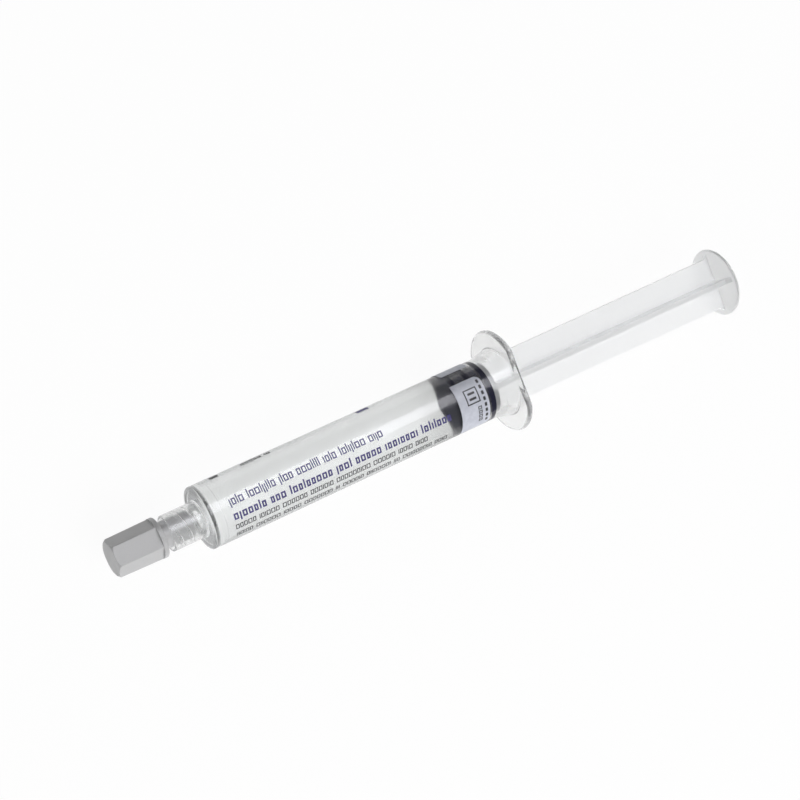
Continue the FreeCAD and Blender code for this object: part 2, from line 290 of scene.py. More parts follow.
def wrap_marks(name: str, datum: Datum, marks: list[Mark], radius: float, thickness: float,
               turn: float) -> bpy.types.Object:
    """Lays thin printed plates round the barrel.

    Args:
        name: The object's name.
        datum: The syringe's axis.
        marks: The plates.
        radius: Radius of the face that they lie on.
        thickness: How far they stand out of it.
        turn: Angle at which a mark's place round the barrel is 0.

    Returns:
        One object that holds all the plates.
    """
    mesh = bmesh.new()
    for mark in marks:
        rows = []
        for arc in mark.levels(PRINT_RUN):
            angle = turn + math.degrees(arc / radius)
            inset = mark.inset(arc)
            ends = (mark.start if mark.square_start else mark.start + inset, mark.end - inset)
            rows.append([mesh.verts.new(datum.point(end, radius + lift, angle))
                         for lift in (0.0, thickness) for end in ends])
        for (a, b, c, d), (e, f, g, h) in zip(rows, rows[1:]):
            for corners in ((a, b, f, e), (c, d, h, g), (a, c, g, e), (b, d, h, f)):
                mesh.faces.new(corners)
        for a, b, c, d in (rows[0], rows[-1]):
            mesh.faces.new((a, b, d, c))
    return make_object(name, mesh)


# Shader groups that several finishes share

WAVE_DETAIL = 2.0
WAVE_HEIGHT = 0.2
GRAIN_DETAIL = 4.0
GRAIN_HEIGHT = 0.02
PATCH_DETAIL = 3.0
PATCH_FULL = 0.75


@dataclass
class Shading:
    """A node tree that is being laid out, with short ways to add and join nodes."""

    tree: bpy.types.NodeTree

    def add(self, kind: str, **settings: object) -> bpy.types.Node:
        """Adds a node and sets its own properties.

        Args:
            kind: The node's type.
            settings: The properties by name.

        Returns:
            The node.
        """
        node = self.tree.nodes.new(kind)
        for name, setting in settings.items():
            setattr(node, name, setting)
        return node

    def join(self, source: Socket, target: Socket) -> None:
        """Links an output to an input."""
        self.tree.links.new(source, target)

    def blend(self, share: Socket, low: float, high: float) -> Socket:
        """Spreads a share from 0 to 1 over a range of values.

        Args:
            share: The share.
            low: The value where it is 0.
            high: The value where it is 1.

        Returns:
            The value.
        """
        spread = self.add("ShaderNodeMapRange")
        spread.inputs["To Min"].default_value = low
        spread.inputs["To Max"].default_value = high
        self.join(share, spread.inputs["Value"])
        return spread.outputs["Result"]

    def ramp(self, source: Socket, span: tuple[float, float], levels: tuple[float, float]) -> Socket:
        """Steps smoothly from one level to another.

        Args:
            source: The value that decides the level.
            span: Where in that value the step begins and ends.
            levels: The levels before and after the step.

        Returns:
            The level.
        """
        step = self.add("ShaderNodeMapRange", interpolation_type="SMOOTHSTEP")
        for name, setting in zip(("From Min", "From Max", "To Min", "To Max"), (*span, *levels)):
            step.inputs[name].default_value = setting
        self.join(source, step.inputs["Value"])
        return step.outputs["Result"]

    def combine(self, operation: str, first: Socket, second: Socket) -> Socket:
        """Makes one value of two.

        Args:
            operation: The name of the sum that is done.
            first: One value.
            second: The other value.

        Returns:
            The result.
        """
        node = self.add("ShaderNodeMath", operation=operation)
        self.join(first, node.inputs[0])
        self.join(second, node.inputs[1])
        return node.outputs["Value"]


class Effect(Enum):
    """The shared shader groups."""

    MOULDED_SKIN = "moulded_skin"
    HANDLING = "handling_marks"


def start_group(effect: Effect, inputs: dict[str, float], outputs: dict[str, str]) -> Shading:
    """Starts a shader group with named sockets.

    Args:
        effect: The group's name.
        inputs: Values by name.
        outputs: Socket types by name.

    Returns:
        The group's tree, ready for its nodes.
    """
    tree = bpy.data.node_groups.new(effect.value, "ShaderNodeTree")
    for name, standard in inputs.items():
        socket = tree.interface.new_socket(name=name, in_out="INPUT", socket_type="NodeSocketFloat")
        socket.default_value = standard
    for name, kind in outputs.items():
        tree.interface.new_socket(name=name, in_out="OUTPUT", socket_type=kind)
    return Shading(tree)


def build_moulded_skin() -> None:
    """Fine texture and slow waves of a moulded face, as a normal and a mask that both vary."""
    inputs = {"Grain Scale": 4000.0, "Grain Depth": 0.1, "Wave Scale": 90.0, "Wave Depth": 0.1}
    outputs = {"Normal": "NodeSocketVector", "Mask": "NodeSocketFloat"}
    shading = start_group(Effect.MOULDED_SKIN, inputs, outputs)
    inlet = shading.add("NodeGroupInput")
    outlet = shading.add("NodeGroupOutput")
    place = shading.add("ShaderNodeTexCoord")
    waves = shading.add("ShaderNodeTexNoise")
    grain = shading.add("ShaderNodeTexNoise")
    waves.inputs["Detail"].default_value = WAVE_DETAIL
    grain.inputs["Detail"].default_value = GRAIN_DETAIL
    for noise, scale in ((waves, "Wave Scale"), (grain, "Grain Scale")):
        shading.join(place.outputs["Object"], noise.inputs["Vector"])
        shading.join(inlet.outputs[scale], noise.inputs["Scale"])
    wave_bump = shading.add("ShaderNodeBump")
    grain_bump = shading.add("ShaderNodeBump")
    wave_bump.inputs["Distance"].default_value = WAVE_HEIGHT * MM
    grain_bump.inputs["Distance"].default_value = GRAIN_HEIGHT * MM
    for noise, bump, depth in ((waves, wave_bump, "Wave Depth"), (grain, grain_bump, "Grain Depth")):
        shading.join(noise.outputs["Fac"], bump.inputs["Height"])
        shading.join(inlet.outputs[depth], bump.inputs["Strength"])
    shading.join(wave_bump.outputs["Normal"], grain_bump.inputs["Normal"])
    shading.join(grain_bump.outputs["Normal"], outlet.inputs["Normal"])
    shading.join(grain.outputs["Fac"], outlet.inputs["Mask"])


def build_handling_marks() -> None:
    """Broad patches where a face is a little duller from handling, as a mask."""
    shading = start_group(Effect.HANDLING, {"Scale": 120.0, "Spread": 0.5}, {"Mask": "NodeSocketFloat"})
    inlet = shading.add("NodeGroupInput")
    outlet = shading.add("NodeGroupOutput")
    place = shading.add("ShaderNodeTexCoord")
    patches = shading.add("ShaderNodeTexNoise")
    patches.inputs["Detail"].default_value = PATCH_DETAIL
    edge = shading.add("ShaderNodeMapRange", interpolation_type="SMOOTHSTEP")
    edge.inputs["From Max"].default_value = PATCH_FULL
    shading.join(place.outputs["Object"], patches.inputs["Vector"])
    shading.join(inlet.outputs["Scale"], patches.inputs["Scale"])
    shading.join(patches.outputs["Fac"], edge.inputs["Value"])
    shading.join(inlet.outputs["Spread"], edge.inputs["From Min"])
    shading.join(edge.outputs["Result"], outlet.inputs["Mask"])


@dataclass
class Material:
    """A material under construction, with its Principled shader."""

    name: str

    def __post_init__(self) -> None:
        """Makes the material and clears its standard nodes."""
        self.data = bpy.data.materials.new(self.name)
        self.data.use_nodes = True
        self.data.node_tree.nodes.clear()
        self.shading = Shading(self.data.node_tree)
        self.shader = self.shading.add("ShaderNodeBsdfPrincipled")
        self.output = self.shading.add("ShaderNodeOutputMaterial")
        self.shading.join(self.shader.outputs["BSDF"], self.output.inputs["Surface"])

    def group(self, effect: Effect, **values: float) -> bpy.types.Node:
        """Places a shared effect in the material.

        Args:
            effect: The group to place.
            values: Its inputs, with underscores for the spaces in their names.

        Returns:
            The group node.
        """
        node = self.shading.add("ShaderNodeGroup", node_tree=bpy.data.node_groups[effect.value])
        for name, setting in values.items():
            node.inputs[name.replace("_", " ").title()].default_value = setting
        return node

    def set(self, **values: object) -> None:
        """Sets the shader's own sockets.

        Args:
            values: Their values, with underscores for the spaces in their names.
        """
        for name, setting in values.items():
            socket = self.shader.inputs[name.replace("_", " ")]
            socket.default_value = (*setting, 1.0) if isinstance(setting, tuple) else setting

    def drive(self, socket: str, source: Socket) -> None:
        """Lets a varying value reach one of the shader's sockets."""
        self.shading.join(source, self.shader.inputs[socket])

    def vary_roughness(self, mask: Socket, smooth: float, dull: float) -> None:
        """Spreads the roughness between two values by a mask."""
        self.drive("Roughness", self.shading.blend(mask, smooth, dull))

    def vary_colour(self, mask: Socket, low: Colour, high: Colour) -> None:
        """Spreads the base colour between two colours.

        Args:
            mask: The mask that decides.
            low: The colour where it is 0.
            high: The colour where it is 1.
        """
        mix = self.shading.add("ShaderNodeMix", data_type="RGBA")
        mix.inputs["A"].default_value = (*low, 1.0)
        mix.inputs["B"].default_value = (*high, 1.0)
        self.shading.join(mask, mix.inputs["Factor"])
        self.drive("Base Color", mix.outputs["Result"])

    def absorb(self, density: float) -> None:
        """Lets the inside swallow light on its way.

        Args:
            density: Share that is lost, per metre.
        """
        inside = self.shading.add("ShaderNodeVolumeAbsorption")
        inside.inputs["Color"].default_value = (0.0, 0.0, 0.0, 1.0)
        inside.inputs["Density"].default_value = density
        self.shading.join(inside.outputs["Volume"], self.output.inputs["Volume"])

    def let_lamps_through(self, tint: Colour) -> None:
        """Lets light from lamps reach what lies behind the clear material.

        Args:
            tint: The colour that the light keeps.
        """
        clear = self.shading.add("ShaderNodeBsdfTransparent")
        clear.inputs["Color"].default_value = (*tint, 1.0)
        path = self.shading.add("ShaderNodeLightPath")
        mix = self.shading.add("ShaderNodeMixShader")
        self.shading.join(path.outputs["Is Shadow Ray"], mix.inputs["Fac"])
        self.shading.join(self.shader.outputs["BSDF"], mix.inputs[1])
        self.shading.join(clear.outputs["BSDF"], mix.inputs[2])
        self.shading.join(mix.outputs["Shader"], self.output.inputs["Surface"])


# Finishes


@dataclass(frozen=True)
class ClearPlastic:
    """Clear moulded polypropylene with faint flow waves."""

    tint: Colour = (0.952, 0.956, 0.952)
    refraction: float = 1.49
    smooth: float = 0.15
    dull: float = 0.24
    haze: float = 4.0

    def build(self) -> bpy.types.Material:
        """Makes the material.

        Returns:
            The material.
        """
        material = Material("clear_polypropylene")
        material.set(Base_Color=self.tint, Transmission_Weight=1.0, IOR=self.refraction)
        skin = material.group(Effect.MOULDED_SKIN, grain_scale=3000.0, grain_depth=0.15,
                              wave_scale=140.0, wave_depth=0.12)
        marks = material.group(Effect.HANDLING, scale=180.0, spread=0.45)
        material.drive("Normal", skin.outputs["Normal"])
        material.vary_roughness(marks.outputs["Mask"], self.smooth, self.dull)
        material.let_lamps_through(self.tint)
        material.absorb(self.haze)
        return material.data


@dataclass(frozen=True)
class SalineWater:
    """Clear liquid with no colour of its own."""

    tint: Colour = (0.975, 0.98, 0.98)
    refraction: float = 1.333

    def build(self) -> bpy.types.Material:
        """Makes the material.

        Returns:
            The material.
        """
        material = Material("saline")
        material.set(Base_Color=self.tint, Transmission_Weight=1.0, IOR=self.refraction, Roughness=0.0)
        material.let_lamps_through(self.tint)
        return material.data


@dataclass(frozen=True)
class CapPlastic:
    """Grey satin plastic of the tip cap."""

    colour: Colour = (0.46, 0.46, 0.465)
    pale: Colour = (0.54, 0.54, 0.545)
    refraction: float = 1.49
    smooth: float = 0.34
    dull: float = 0.5

    def build(self) -> bpy.types.Material:
        """Makes the material.

        Returns:
            The material.
        """
        material = Material("grey_cap_plastic")
        skin = material.group(Effect.MOULDED_SKIN, grain_scale=5000.0, grain_depth=0.5,
                              wave_scale=220.0, wave_depth=0.25)
        marks = material.group(Effect.HANDLING, scale=260.0, spread=0.4)
        material.set(IOR=self.refraction)
        material.drive("Normal", skin.outputs["Normal"])
        material.vary_colour(skin.outputs["Mask"], self.colour, self.pale)
        material.vary_roughness(marks.outputs["Mask"], self.smooth, self.dull)
        return material.data


@dataclass(frozen=True)
class RodPlastic:
    """Milky satin polypropylene of the plunger rod, which lets light through."""

    colour: Colour = (0.93, 0.935, 0.935)
    pale: Colour = (0.96, 0.965, 0.965)
    glow: Colour = (0.96, 0.96, 0.96)
    refraction: float = 1.49
    clearness: float = 0.8
    haze: float = 15.0
    smooth: float = 0.32
    dull: float = 0.46

    def build(self) -> bpy.types.Material:
        """Makes the material.

        Returns:
            The material.
        """
        material = Material("milky_rod_plastic")
        skin = material.group(Effect.MOULDED_SKIN, grain_scale=2600.0, grain_depth=0.3,
                              wave_scale=110.0, wave_depth=0.2)
        marks = material.group(Effect.HANDLING, scale=150.0, spread=0.45)
        material.set(IOR=self.refraction, Transmission_Weight=self.clearness)
        material.drive("Normal", skin.outputs["Normal"])
        material.vary_colour(skin.outputs["Mask"], self.colour, self.pale)
        material.vary_roughness(marks.outputs["Mask"], self.smooth, self.dull)
        material.let_lamps_through(self.glow)
        material.absorb(self.haze)
        return material.data


@dataclass(frozen=True)
class StopperRubber:
    """Charcoal rubber, which shines little where plastic and liquid touch it."""

    colour: Colour = (0.006, 0.006, 0.024)
    pale: Colour = (0.011, 0.011, 0.034)
    refraction: float = 1.5
    shine: float = 0.1
    smooth: float = 0.38
    dull: float = 0.55

    def build(self) -> bpy.types.Material:
        """Makes the material.

        Returns:
            The material.
        """
        material = Material("charcoal_rubber")
        skin = material.group(Effect.MOULDED_SKIN, grain_scale=7000.0, grain_depth=0.6,
                              wave_scale=300.0, wave_depth=0.15)
        marks = material.group(Effect.HANDLING, scale=400.0, spread=0.4)
        material.set(IOR=self.refraction, Specular_IOR_Level=self.shine)
        material.drive("Normal", skin.outputs["Normal"])
        material.vary_colour(skin.outputs["Mask"], self.colour, self.pale)
        material.vary_roughness(marks.outputs["Mask"], self.smooth, self.dull)
        return material.data


@dataclass(frozen=True)
class FilmFinish:
    """Clear label film, a little milky, which shows most at its cut ends.

    The last two values are shares of its length: its middle, and how far from there the ends begin.
    """

    colour: Colour = (0.86, 0.86, 0.88)
    refraction: float = 1.45
    smooth: float = 0.16
    dull: float = 0.3
    body: float = 0.003
    edge: float = 0.08
    middle: float = 0.5
    reach: float = 0.498

    def build(self) -> bpy.types.Material:
        """Makes the material.

        Returns:
            The material.
        """
        material = Material("clear_label_film")
        material.set(Base_Color=self.colour, IOR=self.refraction)
        marks = material.group(Effect.HANDLING, scale=160.0, spread=0.45)
        material.vary_roughness(marks.outputs["Mask"], self.smooth, self.dull)
        ends = self.edge_mask(material.shading)
        material.drive("Alpha", material.shading.blend(ends, self.body, self.edge))
        return material.data

    def edge_mask(self, shading: Shading) -> Socket:
        """Gives 1 at the film's two cut ends and 0 a short way from them.

        Args:
            shading: The material's tree.

        Returns:
            The mask.
        """
        place = shading.add("ShaderNodeTexCoord")
        parts = shading.add("ShaderNodeSeparateXYZ")
        inner = shading.add("ShaderNodeMath", operation="COMPARE")
        inner.inputs[1].default_value = self.middle
        inner.inputs[2].default_value = self.reach
        flip = shading.add("ShaderNodeMath", operation="SUBTRACT")
        flip.inputs[0].default_value = 1.0
        shading.join(place.outputs["Generated"], parts.inputs["Vector"])
        shading.join(parts.outputs["X"], inner.inputs[0])
        shading.join(inner.outputs["Value"], flip.inputs[1])
        return flip.outputs["Value"]


@dataclass(frozen=True)
class Ink:
    """Printed ink, slightly uneven where it went on thin."""

    name: str
    colour: Colour
    thin: Colour
    refraction: float = 1.45
    smooth: float = 0.35
    dull: float = 0.55

    def build(self) -> bpy.types.Material:
        """Makes the material.

        Returns:
            The material.
        """
        material = Material(self.name)
        skin = material.group(Effect.MOULDED_SKIN, grain_scale=2500.0, grain_depth=0.2,
                              wave_scale=400.0, wave_depth=0.05)
        marks = material.group(Effect.HANDLING, scale=900.0, spread=0.35)
        material.set(IOR=self.refraction)
        material.drive("Normal", skin.outputs["Normal"])
        material.vary_colour(marks.outputs["Mask"], self.colour, self.thin)
        material.vary_roughness(skin.outputs["Mask"], self.smooth, self.dull)
        return material.data


PURPLE_INK = Ink("purple_ink", colour=(0.045, 0.036, 0.16), thin=(0.09, 0.08, 0.24))
BLACK_INK = Ink("black_ink", colour=(0.02, 0.02, 0.024), thin=(0.05, 0.05, 0.055))
SILVER_INK = Ink("silver_field", colour=(0.51, 0.527, 0.595), thin=(0.585, 0.602, 0.67))


# The syringe's pieces


def finish_piece(piece: bpy.types.Object, body: Body, slot: Slot, material: bpy.types.Material) -> None:
    """Dresses a new piece and lets it ride on its body.

    Args:
        piece: The finished object.
        body: The body that it moves with.
        slot: The record's slot that its finish belongs to. Not used.
        material: Its material.
    """
    piece.data.materials.append(material)
    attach(piece, body.value)
    LOG.info("%s: %d faces, rides on %s", piece.name, len(piece.data.polygons), body.value)


def dress_node(node: bpy.types.Object, material: bpy.types.Material) -> None:
    """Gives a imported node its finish.

    Args:
        node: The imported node.
        material: Its material.
    """
    for slot in node.material_slots:
        slot.material = material
    LOG.info("%s: packed shape, dressed as %s", node.name, material.name)


@dataclass
class Barrel:
    """Clear barrel with its flange, luer tip and threaded collar, kept as packed."""

    tip_length: float = 11.0
    wall: float = 0.95
    front_wall: float = 0.9
    front_cone: float = 0.3
    front_corner: float = 1.1
    tip_bore: float = 0.75
    radius: float = 7.9

    @property
    def bore(self) -> float:
        """Radius of the bore."""
        return self.radius - self.wall

    def build(self, frame: dict) -> None:
        """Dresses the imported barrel."""
        dress_node(frame["nodes"]["barrel"], ClearPlastic().build())


@dataclass
class TipCap:
    """Grey cap on the luer tip, kept as packed."""

    def build(self, frame: dict) -> None:
        """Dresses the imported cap."""
        dress_node(frame["nodes"]["tip_cap"], CapPlastic().build())


@dataclass
class PlungerRod:
    """Milky rod with its thumb pad, kept as packed."""

    def build(self, frame: dict) -> None:
        """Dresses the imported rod."""
        dress_node(frame["nodes"]["plunger_rod"], RodPlastic().build())


@dataclass
class Stopper:
    """Rubber stopper whose ribs press on the bore."""

    datum: Datum
    barrel: Barrel
    length: float = 9.9
    seals: int = 3
    seal_width: float = 1.7
    groove: float = 0.5
    edge: float = 0.3
    nose: float = 1.0
    cone: float = 3.0
    press: float = 0.012
    neck: float = 2.28
    socket: float = 3.08
    lip: float = 1.92
    depth: float = 4.68

    def outline(self, rear: float) -> Outline:
        """Draws half the stopper's section.

        Args:
            rear: Place of its rear face.

        Returns:
            The outline, with its rib edges rounded.
        """
        front = rear - self.length
        touch = self.barrel.bore + self.press
        pitch = (self.length - self.seal_width) / (self.seals - 1)
        corners: Outline = [(front - self.cone, 0.0), (front - self.cone, self.nose)]
        radii = {1: self.edge}
        for seal in range(self.seals):
            near = front + seal * pitch
            for along, radius in ((near, touch), (near + self.seal_width, touch)):
                radii[len(corners)] = self.edge
                corners.append((along, radius))
            if seal < self.seals - 1:
                corners.append((near + self.seal_width, touch - self.groove))
                corners.append((near + pitch, touch - self.groove))
        corners += [(rear, self.neck), (rear - self.lip, self.neck), (rear - self.lip, self.socket),
                    (rear - self.depth, self.socket), (rear - self.depth, 0.0)]
        return round_corners(corners, radii)

    def build(self) -> None:
        """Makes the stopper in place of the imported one."""
        rear = (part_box("stopper")[1].x - self.datum.front) / MM
        piece = lathe("rubber_stopper", self.datum, self.outline(rear))
        finish_piece(piece, Body.PLUNGER, Slot.RUBBER, StopperRubber().build())
        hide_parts("stopper")


@dataclass
class Saline:
    """The liquid: a column between the front wall and the stopper, and a thread of it in the tip.

    It wets the bore and the stopper, so it reaches a hair into the wall and a little into the rubber.
    """

    datum: Datum
    barrel: Barrel
    stopper: Stopper
    wetting: float = 0.03
    soak: float = 0.6
    thread_steps: int = 32

    def build(self, frame: dict) -> None:
        """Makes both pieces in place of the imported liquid.

        Args:
            frame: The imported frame, whose joint gives the stopper's travel.
        """
        material = SalineWater().build()
        end = (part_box("stopper")[0].x - self.datum.front) / MM + self.stopper.cone + self.soak
        column = self.build_column(end)
        finish_piece(column, Body.BARREL, Slot.LIQUID, material)
        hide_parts("saline")
        shoulder = self.barrel.front_wall + self.barrel.front_cone
        slide = next(joint for joint in frame["joints"] if joint["name"] == "plunger_slide")
        travel = max(slide["range_m"]) / MM
        self.datum.point(shoulder, 0.0, 0.0)
        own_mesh(column)
        finish_piece(self.build_thread(), Body.BARREL, Slot.LIQUID, material)

    def build_column(self, end: float) -> bpy.types.Object:
        """Makes the column between the front wall and the stopper.

        Args:
            end: Place of its rear face, inside the rubber.

        Returns:
            The column.
        """
        wet = self.barrel.bore + self.wetting
        start = self.barrel.front_wall - self.wetting
        shoulder = start + self.barrel.front_cone
        corners: Outline = [
            (start, 0.0), (start, self.barrel.tip_bore), (shoulder, wet), (end, wet), (end, 0.0)]
        radii = {corners.index((shoulder, wet)): self.barrel.front_corner}
        return lathe("saline_column", self.datum, round_corners(corners, radii))

    def build_thread(self) -> bpy.types.Object:
        """Makes the liquid in the tip's channel, up to the column.

        Returns:
            The thread.
        """
        wet = self.barrel.tip_bore + self.wetting
        start = -self.barrel.tip_length
        end = self.barrel.front_wall
        corners: Outline = [(start, 0.0), (start, wet), (end, wet), (end, 0.0)]
        return lathe("saline_in_tip", self.datum, corners, steps=self.thread_steps)


class Shape(Enum):
    """The plain shapes that a printed row is made of."""

    FRAME = "frame"
    STROKE = "stroke"
    TALL = "tall"
    DEEP = "deep"


@dataclass(frozen=True)
class PrintRow:
    """A printed row of small frames and strokes, in groups of uneven length.

    A frame's width, the rise of a tall stroke, the drop of a deep one and the space between groups are
    shares of the row's height, and the gap between marks is a share of a line's width.
    """

    start: float
    end: float
    centre: float
    height: float
    line: float
    shapes: tuple[Shape, ...]
    seed: int
    slim: float = 0.72
    uneven: tuple[float, float] = (0.85, 1.1)
    group: tuple[int, int] = (3, 9)
    rise: float = 0.4
    drop: float = 0.3
    gap: float = 0.9
    space: float = 0.55

    def marks(self) -> Iterator[Mark]:
        """Gives the row's marks, group by group.

        Returns:
            The marks, until the row is full.
        """
        draw = random.Random(self.seed)
        low = self.centre - self.height / 2
        along = self.start
        while True:
            for _ in range(draw.randint(*self.group)):
                shape = draw.choice(self.shapes)
                width = self.line
                if shape is Shape.FRAME:
                    width = self.height * self.slim * draw.uniform(*self.uneven)
                if along + width > self.end:
                    return
                if shape is Shape.FRAME:
                    yield from frame_marks(along, along + width, low, low + self.height, self.line)
                else:
                    rise = self.rise * self.height if shape is Shape.TALL else 0.0
                    drop = self.drop * self.height if shape is Shape.DEEP else 0.0
                    yield Mark(along, along + width, low - drop, low + self.height + rise)
                along += width + self.gap * self.line
            along += self.space * self.height


@dataclass
class Label:
    """Clear film round the barrel with printed fields of plain shapes."""

    datum: Datum
    facing: float = 7.4
    thickness: float = 0.08
    ink: float = 0.012
    margin: float = 0.2
    start: float = field(init=False)
    end: float = field(init=False)
    radius: float = field(init=False)

    def build(self) -> None:
        """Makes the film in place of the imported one, and its print."""
        low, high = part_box("label")
        self.start = (low.x - self.datum.front) / MM
        self.end = (high.x - self.datum.front) / MM
        self.radius = (high.y - low.y) / 2 / MM
        inner = self.radius - self.thickness
        film = lathe("label_film", self.datum, [
            (self.start, inner), (self.start, self.radius), (self.end, self.radius), (self.end, inner)])
        finish_piece(film, Body.BARREL, Slot.LABEL, FilmFinish().build())
        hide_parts("label")
        prints: tuple[tuple[str, Ink, Callable[[], list[Mark]], float], ...] = (
            ("label_silver_field", SILVER_INK, self.silver_marks, 0.0),
            ("label_purple_print", PURPLE_INK, self.purple_marks, 0.0),
            ("label_black_print", BLACK_INK, self.black_marks, 0.0),
            ("label_field_print", BLACK_INK, self.field_marks, self.ink),
        )
        inks = {ink.name: ink.build() for _, ink, _, _ in prints}
        for name, ink, marks, lift in prints:
            piece = wrap_marks(name, self.datum, marks(), self.radius + lift, self.ink, self.facing)
            finish_piece(piece, Body.BARREL, Slot.LABEL, inks[ink.name])

    def purple_marks(self) -> list[Mark]:
        """Lays out the two large rows and a small block.

        Returns:
            Their marks.
        """
        kinds = (Shape.FRAME,) * 5 + (Shape.STROKE, Shape.TALL, Shape.TALL, Shape.DEEP)
        rows = (PrintRow(start=5.4, end=47.9, centre=0.55, height=1.6, line=0.3, shapes=kinds, seed=3),
                PrintRow(start=5.2, end=66.8, centre=-3.0, height=1.6, line=0.4, shapes=kinds, seed=5))
        block = Mark(start=45.7, end=49.0, low=9.1, high=10.6, corner=0.2)
        return [mark for row in rows for mark in row.marks()] + [block]

    def black_marks(self) -> list[Mark]:
        """Lays out the two small rows, a short one higher up and a block at the label's start.

        Returns:
            Their marks.
        """
        kinds = (Shape.FRAME,) * 3 + (Shape.STROKE,)
        rows = (PrintRow(start=5.1, end=59.7, centre=-5.7, height=1.35, line=0.22, shapes=kinds, seed=7),
                PrintRow(start=5.3, end=65.0, centre=-8.25, height=1.35, line=0.22, shapes=kinds, seed=11),
                PrintRow(start=13.4, end=21.9, centre=9.75, height=1.2, line=0.3, shapes=kinds, seed=13))
        block = Mark(start=4.9, end=7.2, low=9.0, high=10.4, corner=0.1)
        return [mark for row in rows for mark in row.marks()] + [block]

    def silver_marks(self) -> list[Mark]:
        """Lays out the pale field over the stopper, and another one higher up.

        Returns:
            Both fields.
        """
        edge = self.end - self.margin
        return [Mark(start=69.0, end=edge, low=-10.6, high=4.0, corner=1.6, square_start=True),
                Mark(start=69.2, end=edge, low=8.1, high=17.0, corner=0.6)]

    def field_marks(self) -> list[Mark]:
        """Lays out a column of dashes, a frame with two bars and small boxes on the pale field.

        Returns:
            Their marks.
        """
        dashes, first_dash, dash_pitch, dash_length = 8, 3.0, 1.55, 1.0
        tops = [first_dash - dash_pitch * k for k in range(dashes)]
        column = [Mark(start=75.9, end=76.6, low=top - dash_length, high=top, corner=0.2) for top in tops]
        left, right, inset, half_bar = 71.3, 75.1, 0.9, 0.3
        frame = frame_marks(left, right, low=-2.4, high=1.6, line=0.32)
        bars = [Mark(left + inset, right - inset, middle - half_bar, middle + half_bar, corner=0.15)
                for middle in (-1.1, 0.3)]
        small, box_low, box_high, box_pitch = 4, -4.4, -3.5, 1.2
        boxes = [mark for k in range(small) for mark in frame_marks(
            start=73.9, end=75.0, low=box_low - box_pitch * k, high=box_high - box_pitch * k, line=0.25)]
        return column + frame + bars + boxes


# The studio


@dataclass
class Table:
    """White table that touches the flange's foot and the barrel's front edge."""

    datum: Datum
    barrel: Barrel
    flange_place: float = 85.6
    flange_foot: float = 9.9
    front_edge: float = 0.3
    size: float = 3.0
    colour: Colour = (0.9, 0.9, 0.9)
    seen_share: float = 0.05
    through_share: float = 0.35

    def build(self) -> None:
        """Makes the table's top."""
        heel = self.datum.point(self.flange_place, self.flange_foot, UNDERSIDE)
        toe = self.datum.point(self.front_edge, self.barrel.radius, UNDERSIDE)
        slope = math.atan2(heel.z - toe.z, heel.x - toe.x)
        mesh = bmesh.new()
        bmesh.ops.create_grid(mesh, x_segments=1, y_segments=1, size=self.size / 2)
        top = make_object("table_top", mesh)
        top.rotation_euler = (0.0, -slope, 0.0)
        top.location = heel
        top.data.materials.append(self.paper())

    def paper(self) -> bpy.types.Material:
        """Makes a white that shines for what sees it, with a share of plain paper.

        The share is larger for rays through clear material. Other rays meet paper alone.

        Returns:
            The material.
        """
        data = bpy.data.materials.new("white_paper")
        data.use_nodes = True
        data.node_tree.nodes.clear()
        shading = Shading(data.node_tree)
        paper = shading.add("ShaderNodeBsdfDiffuse")
        paper.inputs["Color"].default_value = (*self.colour, 1.0)
        white = shading.add("ShaderNodeEmission")
        mix = shading.add("ShaderNodeMixShader")
        output = shading.add("ShaderNodeOutputMaterial")
        path = shading.add("ShaderNodeLightPath")
        through = shading.blend(path.outputs["Is Transmission Ray"], 1.0 - self.seen_share,
                                1.0 - self.through_share)
        share = shading.combine("MULTIPLY", seen_ray(shading), through)
        shading.join(share, mix.inputs["Fac"])
        shading.join(paper.outputs["BSDF"], mix.inputs[1])
        shading.join(white.outputs["Emission"], mix.inputs[2])
        shading.join(mix.outputs["Shader"], output.inputs["Surface"])
        return data


def seen_ray(shading: Shading) -> Socket:
    """Tells the rays that show the table from those that only carry light.

    Args:
        shading: The material's tree.

    Returns:
        1 for rays from the camera, mirror rays and rays through clear material, and 0 for others.
    """
    path = shading.add("ShaderNodeLightPath")
    total = path.outputs["Is Camera Ray"]
    for name in ("Is Glossy Ray", "Is Transmission Ray"):
        total = shading.combine("MAXIMUM", total, path.outputs[name])
    return total


@dataclass(frozen=True)
class Lamp:
    """An area lamp that faces the syringe."""

    name: str
    place: tuple[float, float, float]
    length: float
    width: float
    power: float
    for_gloss: bool = False
    colour: Colour = (1.0, 1.0, 1.0)

    def build(self, datum: Datum) -> None:
        """Makes the lamp.

        Args:
            datum: The syringe's axis, which it faces.
        """
        data = bpy.data.lights.new(self.name, "AREA")
        data.shape = "RECTANGLE"
        data.size, data.size_y = self.length, self.width
        data.energy = self.power
        data.color = self.colour
        lamp = bpy.data.objects.new(self.name, data)
        bpy.context.scene.collection.objects.link(lamp)
        lamp.location = self.place
        back = (lamp.location - Vector((0.0, 0.0, datum.height))).normalized()
        side = Vector((1.0, 0.0, 0.0))
        side = (side - side.dot(back) * back).normalized()
        lamp.rotation_euler = Matrix((side, back.cross(side), back)).transposed().to_euler()
        lamp.visible_diffuse = not self.for_gloss
        lamp.visible_glossy = self.for_gloss
        lamp.visible_transmission = False


